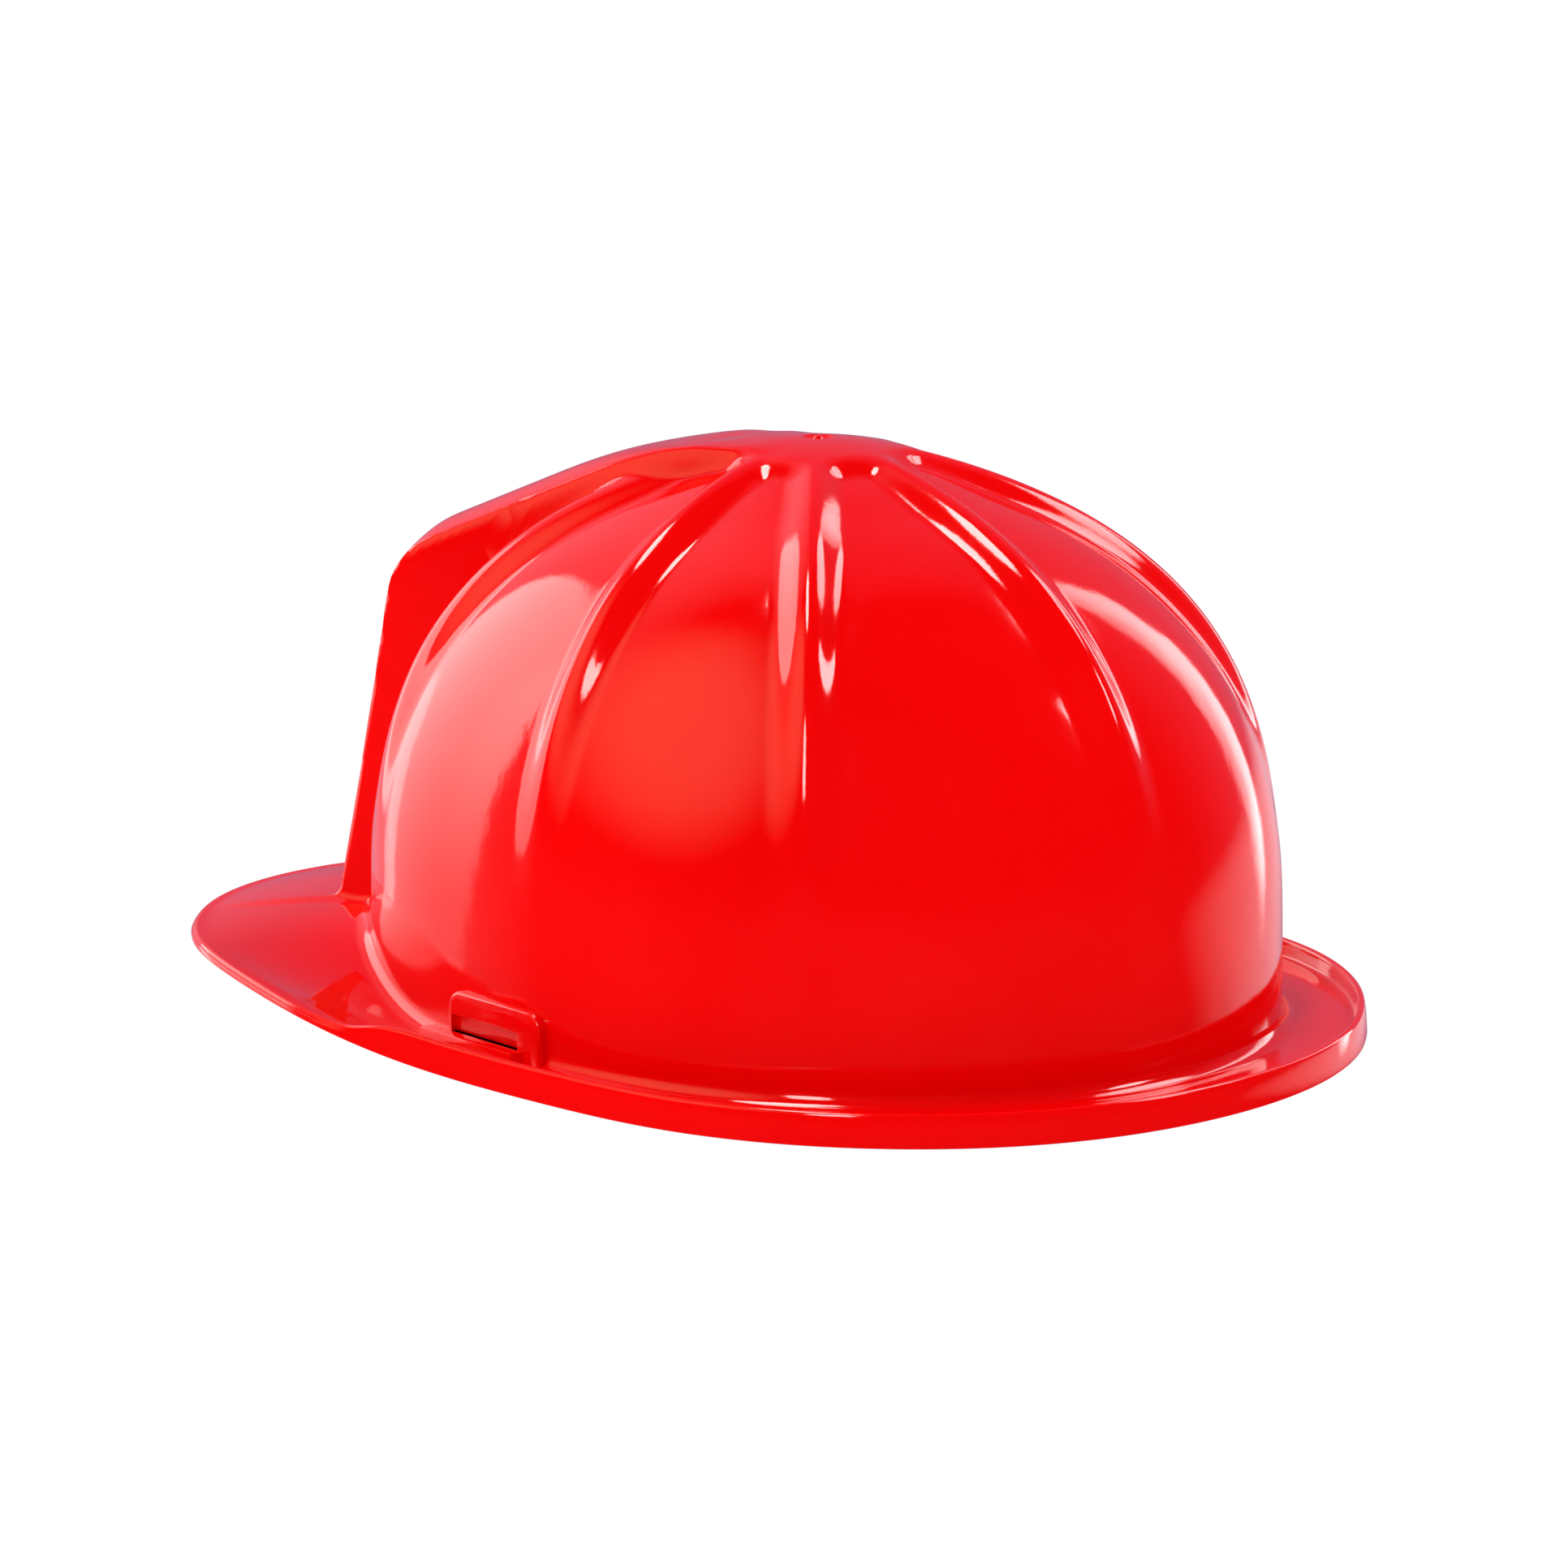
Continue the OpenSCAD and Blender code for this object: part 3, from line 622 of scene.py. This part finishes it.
def ribbon(pts, nrmls, side, half, th_, uv0=0.0):
    """Flat ribbon with soft edges along pts; returns verts, faces, uvs in mm."""
    prof_ = [(-half, 0.25), (-half + 0.25, 0), (half - 0.25, 0), (half, 0.25), (half, th_ - 0.25), (half - 0.25, th_), (-half + 0.25, th_), (-half, th_ - 0.25)]
    # more points across the two flat faces
    lo = [(x, 0.0) for x in np.linspace(-half + 0.25, half - 0.25, 9)]
    hi = [(x, th_) for x in np.linspace(half - 0.25, -half + 0.25, 9)]
    ring_ = [(-half, 0.3)] + lo + [(half, 0.3), (half, th_ - 0.3)] + hi + [(-half, th_ - 0.3)]
    m = len(ring_)
    cum = np.concatenate([[0], np.cumsum(np.linalg.norm(np.diff(pts, axis=0), axis=1))])
    V, F, U = [], [], []
    for p, n_, s_ in zip(pts, nrmls, cum):
        for x, h in ring_:
            V.append(p + side * x + n_ * h)
    for i in range(len(pts) - 1):
        for j in range(m):
            k = (j + 1) % m
            F.append((i * m + j, i * m + k, (i + 1) * m + k, (i + 1) * m + j))
            ua, ub = ring_[j][0], ring_[k][0]
            U += [(ua, cum[i]), (ub, cum[i]), (ub, cum[i + 1]), (ua, cum[i + 1])]
    F.append(tuple(range(m - 1, -1, -1)))
    U += [(x, 0) for x, h in ring_][::-1]
    F.append(tuple((len(pts) - 1) * m + j for j in range(m)))
    U += [(x, cum[-1]) for x, h in ring_]
    return V, F, U


def webbing(name, ang, o, sgn):
    d = np.array([C(ang), S(ang), 0.0])
    side = np.array([-S(ang), C(ang), 0.0])
    up = np.array([0, 0, 1.0])
    cen = np.array([0, band_y, 0.0])
    T = np.concatenate([np.linspace(0.0, 60, 40), np.linspace(62, 88, 22)])
    half_p, half_n = [], []
    for t in T:
        r = (strap_r + o) * C(t) ** 0.9
        z = 44 + (53 + o) * S(t)
        e = 0.5
        r2, z2 = (strap_r + o) * C(min(t + e, 89.9)) ** 0.9, 44 + (53 + o) * S(min(t + e, 89.9))
        tr_, tz = r2 - r, z2 - z
        l = math.hypot(tr_, tz)
        half_p.append((r, z))
        half_n.append((tz / l, -tr_ / l))
    pts = [cen + d * r + up * z for r, z in half_p] + [cen - d * r + up * z for r, z in half_p[::-1]]
    nn = [d * a + up * b for a, b in half_n] + [-d * a + up * b for a, b in half_n[::-1]]
    V, F, U = ribbon(np.array(pts), np.array(nn), side, 6.0, 1.2)
    me = bpy.data.meshes.new(name)
    me.from_pydata([tuple(np.array(v) * MM) for v in V], [], F)
    uv = me.uv_layers.new(name="weave")
    for l, (a, b) in zip(uv.data, U):
        l.uv = (a, b)
    me.shade_smooth()
    ob = link(bpy.data.objects.new(name, me))
    parts, thr = [ob], []
    # loop round the bar of each hanger
    for y, a, mir in ((front_arc_y, -44, sgn), (rear_arc_y, 44, -sgn)):
        H = rz(a, (0, y, 0))
        if mir < 0:
            H = MIRROR @ H
        x0, x1, z0, z1 = tab_o - 1.2, tab_o + 3.2, 36.4, 45.0
        lp_, ln_ = [], []
        xi0, xi1, zi0 = tab_o - 0.1, tab_o + 2.1, 37.6
        for k in np.linspace(0, 1, 8):
            lp_.append((xi0, z1 - 1 + (zi0 + 1.0 - z1 + 1) * k)); ln_.append((-1, 0))
        for q in np.linspace(0, 180, 13)[1:-1]:
            lp_.append(((xi0 + xi1) / 2 - 1.1 * C(q), zi0 + 1.0 - 1.1 * S(q) * 0.9)); ln_.append((-C(q), -S(q)))
        for k in np.linspace(0, 1, 8):
            lp_.append((xi1, zi0 + 1.0 + (z1 - 1 - zi0 - 1.0) * k)); ln_.append((1, 0))
        pts = np.array([(x, 0, z) for x, z in lp_])
        nn = np.array([(x, 0, z) for x, z in ln_])
        V, F, U = ribbon(pts, nn, np.array([0, 1.0, 0]), 5.6, 1.1)
        m2 = bpy.data.meshes.new(name + "_loop")
        m2.from_pydata([tuple((H @ Vector(v)) * MM) for v in V], [], F if mir > 0 else [f[::-1] for f in F])
        uv = m2.uv_layers.new(name="weave")
        if mir < 0:
            W = []
            i = 0
            for f in F:
                W += U[i:i + len(f)][::-1]
                i += len(f)
            U = W
        for l, (u_, v_) in zip(uv.data, U):
            l.uv = (u_, v_)
        m2.shade_smooth()
        parts.append(link(bpy.data.objects.new(name + "_loop", m2)))
    # box of stitching above each loop, on the inner face of the strap
    for sg in (1, -1):
        for face in (0, 1):
            k0, k1 = 3, 12
            def P_(k, x):
                r, z = half_p[k]
                a, b = half_n[k]
                h = -0.02 if face == 0 else 1.22
                return cen + sg * d * (r + a * h) + up * (z + b * h) + side * x
            def N_(k):
                a, b = half_n[k]
                v = sg * d * a + up * b
                return -v if face == 0 else v
            ks = list(range(k0, k1 + 1))
            for x in (-4.4, 4.4):
                thr += stitches([P_(k, x) for k in ks], [N_(k) for k in ks])
            for k in (k0, k1):
                thr += stitches([P_(k, -4.4), P_(k, 4.4)], N_(k), 2.2, 0.6)
            for s0 in (1, -1):
                thr += stitches([P_(k, s0 * (-4.4 + 8.8 * (k - k0) / (k1 - k0))) for k in ks], [N_(k) for k in ks])
    bpy.ops.object.select_all(action="DESELECT")
    for q in parts:
        q.select_set(True)
    bpy.context.view_layer.objects.active = ob
    bpy.ops.object.join()
    thread = bm_obj(name + "_stitching", thr)
    return ob, thread


web_lo, web_lo_t = webbing("crown_strap_lower_webbing", 90 + strap_a, 0.0, 1)
web_up, web_up_t = webbing("crown_strap_upper_webbing", 90 - strap_a, 1.5, -1)
for ob, node, sl in ((brow, "brow_pad", "pad_fabric"), (nape, "nape_pad", "pad_fabric"), (cpad, "crown_pad", "pad_fabric"),
                     (web_lo, "crown_strap_lower", "webbing"), (web_up, "crown_strap_upper", "webbing")):
    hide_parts(node)
    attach(ob, "root")
for ob in (brow_thread, nape_thread, cpad_thread, web_lo_t, web_up_t):
    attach(ob, "root")


# ------------------------------------------------------------------ materials
def new_mat(name):
    m = bpy.data.materials.new(name)
    m.use_nodes = True
    nt = m.node_tree
    return m, nt, nt.nodes["Principled BSDF"]


def nd(nt, kind, **kw):
    n = nt.nodes.new(kind)
    for k, v in kw.items():
        if k in n.inputs:
            n.inputs[k].default_value = v
        else:
            setattr(n, k, v)
    return n


def coords(nt):
    return nt.nodes.new("ShaderNodeTexCoord").outputs["Object"]


def noise(nt, scale, detail=3.0, rough=0.5, vec=None):
    n = nd(nt, "ShaderNodeTexNoise", Scale=scale, Detail=detail, Roughness=rough)
    nt.links.new(vec or coords(nt), n.inputs["Vector"])
    return n.outputs["Fac"]


def ramp(nt, fac, stops):
    n = nt.nodes.new("ShaderNodeValToRGB")
    el = n.color_ramp.elements
    while len(el) < len(stops):
        el.new(0.5)
    for e, (pos, col) in zip(el, stops):
        e.position = pos
        e.color = (*col, 1) if len(col) == 3 else col
    nt.links.new(fac, n.inputs["Fac"])
    return n.outputs["Color"]


def maprange(nt, val, a, b, c, d):
    n = nd(nt, "ShaderNodeMapRange")
    for k, v in zip(("From Min", "From Max", "To Min", "To Max"), (a, b, c, d)):
        n.inputs[k].default_value = v
    nt.links.new(val, n.inputs["Value"])
    return n.outputs["Result"]


def bump(nt, height, strength, distance, normal=None):
    n = nd(nt, "ShaderNodeBump", Strength=strength, Distance=distance)
    nt.links.new(height, n.inputs["Height"])
    if normal is not None:
        nt.links.new(normal, n.inputs["Normal"])
    return n.outputs["Normal"]


def red_plastic():
    m, nt, b = new_mat("red_gloss_plastic")
    vec = coords(nt)
    big = noise(nt, 14, 3, 0.5, vec)
    col = ramp(nt, big, [(0.3, (0.785, 0.0002, 0.0006)), (0.7, (0.845, 0.0004, 0.0009))])
    nt.links.new(col, b.inputs["Base Color"])
    r = maprange(nt, noise(nt, 55, 4, 0.6, vec), 0.3, 0.7, 0.055, 0.085)
    nt.links.new(r, b.inputs["Roughness"])
    b.inputs["IOR"].default_value = 1.5
    n1 = bump(nt, noise(nt, 130, 2, 0.5, vec), 0.05, 0.001)
    n2 = bump(nt, noise(nt, 1500, 2, 0.5, vec), 0.03, 0.0002, n1)
    nt.links.new(n2, b.inputs["Normal"])
    return m


def moulded(name, dark, light, rough=(0.42, 0.55), grain=900, depth=0.06):
    m, nt, b = new_mat(name)
    vec = coords(nt)
    nt.links.new(ramp(nt, noise(nt, 60, 4, 0.6, vec), [(0.3, dark), (0.7, light)]), b.inputs["Base Color"])
    nt.links.new(maprange(nt, noise(nt, 260, 4, 0.6, vec), 0.3, 0.7, *rough), b.inputs["Roughness"])
    n1 = bump(nt, noise(nt, grain, 3, 0.6, vec), depth * 4, 0.0002)
    nt.links.new(n1, b.inputs["Normal"])
    return m


def zinc():
    m, nt, b = new_mat("zinc_plated_steel")
    vec = coords(nt)
    b.inputs["Metallic"].default_value = 1.0
    nt.links.new(ramp(nt, noise(nt, 200, 4, 0.6, vec), [(0.3, (0.52, 0.53, 0.55)), (0.7, (0.68, 0.68, 0.70))]), b.inputs["Base Color"])
    nt.links.new(maprange(nt, noise(nt, 700, 3, 0.6, vec), 0.3, 0.7, 0.22, 0.36), b.inputs["Roughness"])
    return m


RED = red_plastic()
BLACK = moulded("black_moulded_plastic", (0.026, 0.026, 0.029), (0.044, 0.044, 0.049))
GREY = moulded("grey_nylon_moulding", (0.085, 0.088, 0.092), (0.125, 0.128, 0.134))
NATURAL = moulded("natural_nylon", (0.66, 0.64, 0.58), (0.76, 0.74, 0.69), (0.3, 0.42))
ZINC = zinc()


def knit_fabric(name, dark, light):
    """Brushed knit: fine rows of stitches over a soft, slightly mottled cloth."""
    m, nt, b = new_mat(name)
    vec = coords(nt)
    col = ramp(nt, noise(nt, 320, 4, 0.65, vec), [(0.25, dark), (0.75, light)])
    nt.links.new(col, b.inputs["Base Color"])
    b.inputs["Roughness"].default_value = 0.95
    b.inputs["Specular IOR Level"].default_value = 0.2
    b.inputs["Sheen Weight"].default_value = 0.25
    b.inputs["Sheen Roughness"].default_value = 0.5
    w1 = nd(nt, "ShaderNodeTexWave", Scale=430.0, Distortion=1.2, Detail=2.0)
    w1.inputs["Detail Scale"].default_value = 30.0
    w1.bands_direction = "Z"
    nt.links.new(vec, w1.inputs["Vector"])
    n1 = bump(nt, w1.outputs["Fac"], 0.35, 0.0003)
    n2 = bump(nt, noise(nt, 2400, 3, 0.7, vec), 0.5, 0.0003, n1)
    n3 = bump(nt, noise(nt, 90, 3, 0.5, vec), 0.25, 0.0015, n2)
    nt.links.new(n3, b.inputs["Normal"])
    return m


def webbing_mat():
    """Plain-woven webbing: warp ribs along the strap and weft across it."""
    m, nt, b = new_mat("black_woven_webbing")
    uv = nt.nodes.new("ShaderNodeUVMap")
    uv.uv_map = "weave"
    sep = nt.nodes.new("ShaderNodeSeparateXYZ")
    nt.links.new(uv.outputs[0], sep.inputs[0])

    def mt(op, a, b_=None):
        n = nt.nodes.new("ShaderNodeMath")
        n.operation = op
        for i, v in enumerate((a, b_)):
            if v is None:
                continue
            if isinstance(v, (int, float)):
                n.inputs[i].default_value = v
            else:
                nt.links.new(v, n.inputs[i])
        return n.outputs[0]
    u, v = sep.outputs[0], sep.outputs[1]
    su = mt("SINE", mt("MULTIPLY", u, 2 * math.pi / 1.1))
    sv = mt("SINE", mt("MULTIPLY", v, 2 * math.pi / 1.3))
    wv = mt("MULTIPLY_ADD", mt("MULTIPLY", su, sv), 0.5)
    n_ = wv.node
    n_.inputs[2].default_value = 0.5
    fine = noise(nt, 1.0, 2, 0.5, uv.outputs[0])
    col = ramp(nt, wv, [(0.1, (0.012, 0.012, 0.013)), (0.9, (0.045, 0.045, 0.048))])
    nt.links.new(col, b.inputs["Base Color"])
    b.inputs["Roughness"].default_value = 0.72
    b.inputs["Specular IOR Level"].default_value = 0.35
    b.inputs["Sheen Weight"].default_value = 0.15
    n1 = bump(nt, wv, 0.7, 0.00035)
    n2 = bump(nt, fine, 0.25, 0.0002, n1)
    nt.links.new(n2, b.inputs["Normal"])
    return m


def thread_mat(name, col):
    m, nt, b = new_mat(name)
    vec = coords(nt)
    nt.links.new(ramp(nt, noise(nt, 900, 2, 0.5, vec), [(0.3, tuple(0.7 * q for q in col)), (0.7, col)]), b.inputs["Base Color"])
    b.inputs["Roughness"].default_value = 0.6
    return m


PAD = knit_fabric("charcoal_knit_fabric", (0.050, 0.052, 0.058), (0.100, 0.104, 0.114))
WEB = webbing_mat()
THREAD = thread_mat("grey_thread", (0.22, 0.22, 0.23))


def dress(ob, mat):
    ob.data.materials.clear()
    ob.data.materials.append(mat)


dress(shell, RED)
for n in ("headband", "nape_housing", "nape_cover", "strap_guides", "adjuster_knob", "crown_rivet", "brow_pad_studs"):
    dress(N[n], BLACK)
for n in ("hangers_front", "hangers_rear", "strap_tail_left", "strap_tail_right"):
    dress(N[n], GREY)
dress(N["pinion_shaft"], NATURAL)
for n in ("hanger_rivets", "cover_screws", "detent_ring", "knob_screw"):
    dress(N[n], ZINC)
for ob in (brow, nape, cpad):
    dress(ob, PAD)
for ob in (web_lo, web_up):
    dress(ob, WEB)
for ob in (brow_thread, nape_thread, cpad_thread, web_lo_t, web_up_t):
    dress(ob, THREAD)

# ------------------------------------------------------------------ floor, light, camera
fm, nt, b = new_mat("floor_pale")
b.inputs["Base Color"].default_value = (0.92, 0.92, 0.92, 1)
b.inputs["Roughness"].default_value = 0.9
b.inputs["Specular IOR Level"].default_value = 0.0
b.inputs["Emission Color"].default_value = (1, 1, 1, 1)
b.inputs["Emission Strength"].default_value = 0.3
s = 6.0
floor = mesh_obj("floor", [(-s, -s, -0.0004), (s, -s, -0.0004), (s, s, -0.0004), (-s, s, -0.0004)], [(0, 1, 2, 3)], False, 1.0)
dress(floor, fm)
floor.visible_glossy = False
floor.visible_camera = False

world = bpy.data.worlds.new("studio")
bpy.context.scene.world = world
world.use_nodes = True
wn = world.node_tree
for n in list(wn.nodes):
    wn.nodes.remove(n)


def wmath(op, a, b=None, c=None, clamp=False):
    n = wn.nodes.new("ShaderNodeMath")
    n.operation = op
    n.use_clamp = clamp
    for i, v in enumerate((a, b, c)):
        if v is None:
            continue
        if isinstance(v, (int, float)):
            n.inputs[i].default_value = v
        else:
            wn.links.new(v, n.inputs[i])
    return n.outputs[0]


def wsmooth(v, a, b, lo=0.0, hi=1.0):
    n = nd(wn, "ShaderNodeMapRange")
    n.interpolation_type = "SMOOTHSTEP"
    for k, q in zip(("From Min", "From Max", "To Min", "To Max"), (a, b, lo, hi)):
        n.inputs[k].default_value = q
    wn.links.new(v, n.inputs["Value"])
    return n.outputs["Result"]


tc = wn.nodes.new("ShaderNodeTexCoord")
xyz = wn.nodes.new("ShaderNodeSeparateXYZ")
wn.links.new(tc.outputs["Generated"], xyz.inputs[0])
X, Y, Z = xyz.outputs
AZ = wmath("MULTIPLY", wmath("ARCTAN2", X, wmath("MULTIPLY", Y, -1.0)), 180 / math.pi)   # 0 = ahead of the visor
EL = wmath("MULTIPLY", wmath("ARCSINE", Z), 180 / math.pi)


def off(c):
    return wmath("WRAP", wmath("SUBTRACT", AZ, c), 180.0, -180.0)


def oval(c, h, ce, he, n=4.0):
    """Rounded-box distance in degrees: 1 on the edge of the box."""
    u = wmath("POWER", wmath("ABSOLUTE", wmath("DIVIDE", off(c), h)), n)
    v = wmath("POWER", wmath("ABSOLUTE", wmath("DIVIDE", wmath("SUBTRACT", EL, ce), he)), n)
    return wmath("ADD", u, v)


def soft(c, h, ce, he, n=4.0, s=0.3, fade=None):
    m = wsmooth(oval(c, h, ce, he, n), 1 - s, 1 + s, 1.0, 0.0)
    if fade:
        m = wmath("MULTIPLY", m, wsmooth(off(c), *fade))
    return m


# soft boxes and dim walls of the studio: (mask, radiance, tint)
PANELS = [
    (wmath("MULTIPLY", soft(-7, 20.5, 9, 29, 2.5, 0.10, (8, 20, 1.0, 1.35)), wsmooth(EL, -22, 30, 0.06, 1.0)), 3.2, (1.0, 1.0, 0.95)),
    (soft(-23, 5, -3, 12, 2.5, 0.35), 1.2, (1.0, 1.0, 0.97)),
    (soft(46, 30, 36, 23, 2.0, 0.9), 1.0, (1.0, 1.0, 0.62)),
    (soft(93, 6, 30, 11, 3.0, 0.4), 14.0, (1.0, 1.0, 0.95)),
    (soft(-165, 6, 38, 8, 3.0, 0.4), 13.0, (1.0, 1.0, 1.0)),
    (soft(35, 46, 76, 6, 3.0, 0.4), 17.0, (1.0, 1.0, 0.95)),
    (soft(-127, 18, 51, 9, 3.0, 0.4), 8.0, (1.0, 0.97, 0.98)),
    (soft(-108, 6, 18, 28, 3.0, 0.4, (-9, 3, 0.15, 1.0)), 4.4, (1.0, 0.97, 0.96)),
    (soft(-112, 34, -9, 7, 2.0, 0.8), 0.8, (1.0, 0.97, 0.95)),
    (soft(-70, 60, 20, 60, 2.0, 0.9), 0.27, (1.0, 0.62, 1.0)),
    (soft(-18, 32, 10, 60, 2.0, 0.8), 0.45, (1.0, 0.9, 0.95)),
]
total = None
for mask, L, tint in PANELS:
    v = wn.nodes.new("ShaderNodeVectorMath")
    v.operation = "SCALE"
    v.inputs[0].default_value = tuple(L * q for q in tint)
    wn.links.new(mask, v.inputs["Scale"])
    if total is None:
        total = v.outputs[0]
    else:
        a = wn.nodes.new("ShaderNodeVectorMath")
        a.operation = "ADD"
        wn.links.new(total, a.inputs[0])
        wn.links.new(v.outputs[0], a.inputs[1])
        total = a.outputs[0]
a = wn.nodes.new("ShaderNodeVectorMath")
a.operation = "ADD"
wn.links.new(total, a.inputs[0])
a.inputs[1].default_value = (0.03, 0.03, 0.03)
total = a.outputs[0]
out = wn.nodes.new("ShaderNodeOutputWorld")
bg = nd(wn, "ShaderNodeBackground")
wn.links.new(total, bg.inputs["Color"])
bg.inputs["Strength"].default_value = 1.0
cam_bg = nd(wn, "ShaderNodeBackground")
cam_bg.inputs["Color"].default_value = (1, 1, 1, 1)
cam_bg.inputs["Strength"].default_value = 1.0
mix = wn.nodes.new("ShaderNodeMixShader")
lp = wn.nodes.new("ShaderNodeLightPath")
wn.links.new(lp.outputs["Is Camera Ray"], mix.inputs[0])
wn.links.new(bg.outputs[0], mix.inputs[1])
wn.links.new(cam_bg.outputs[0], mix.inputs[2])
wn.links.new(mix.outputs[0], out.inputs[0])


def fill(name, az, el, size, power, dist=1.6):
    """Soft fill that lights the object without a reflection in the gloss."""
    li = bpy.data.lights.new(name, "AREA")
    li.shape = "RECTANGLE"
    li.size, li.size_y = size
    li.energy = power
    ob = link(bpy.data.objects.new(name, li))
    ob.location = (dist * S(az) * C(el), -dist * C(az) * C(el), dist * S(el) + 0.05)
    d = Vector((0, 0, 0.06)) - ob.location
    ob.rotation_euler = d.to_track_quat("-Z", "Y").to_euler()
    ob.visible_glossy = False
    ob.visible_camera = False
    return ob


fill("fill_side", 115, 30, (1.4, 1.0), 2.4)
fill("fill_front", 20, 40, (1.2, 1.0), 0.5)
fill("fill_rear", 200, 35, (1.4, 1.0), 1.5)
fill("fill_top", 90, 84, (1.2, 1.2), 0.3)
fill("fill_far", -65, 35, (1.4, 1.0), 0.4)

cam = bpy.data.cameras.new("camera")
co = link(bpy.data.objects.new("camera", cam))
co.location = (1.18107, 0.55166, 0.32753)
d = Vector((0, 0.00567, 0.05208)) - Vector(co.location)
co.rotation_euler = d.to_track_quat("-Z", "Y").to_euler()
cam.lens_unit = "FOV"
cam.angle = math.radians(14.947)
cam.clip_start, cam.clip_end = 0.05, 50
bpy.context.scene.camera = co
bpy.context.scene.view_settings.view_transform = "Standard"
bpy.context.scene.view_settings.look = "None"
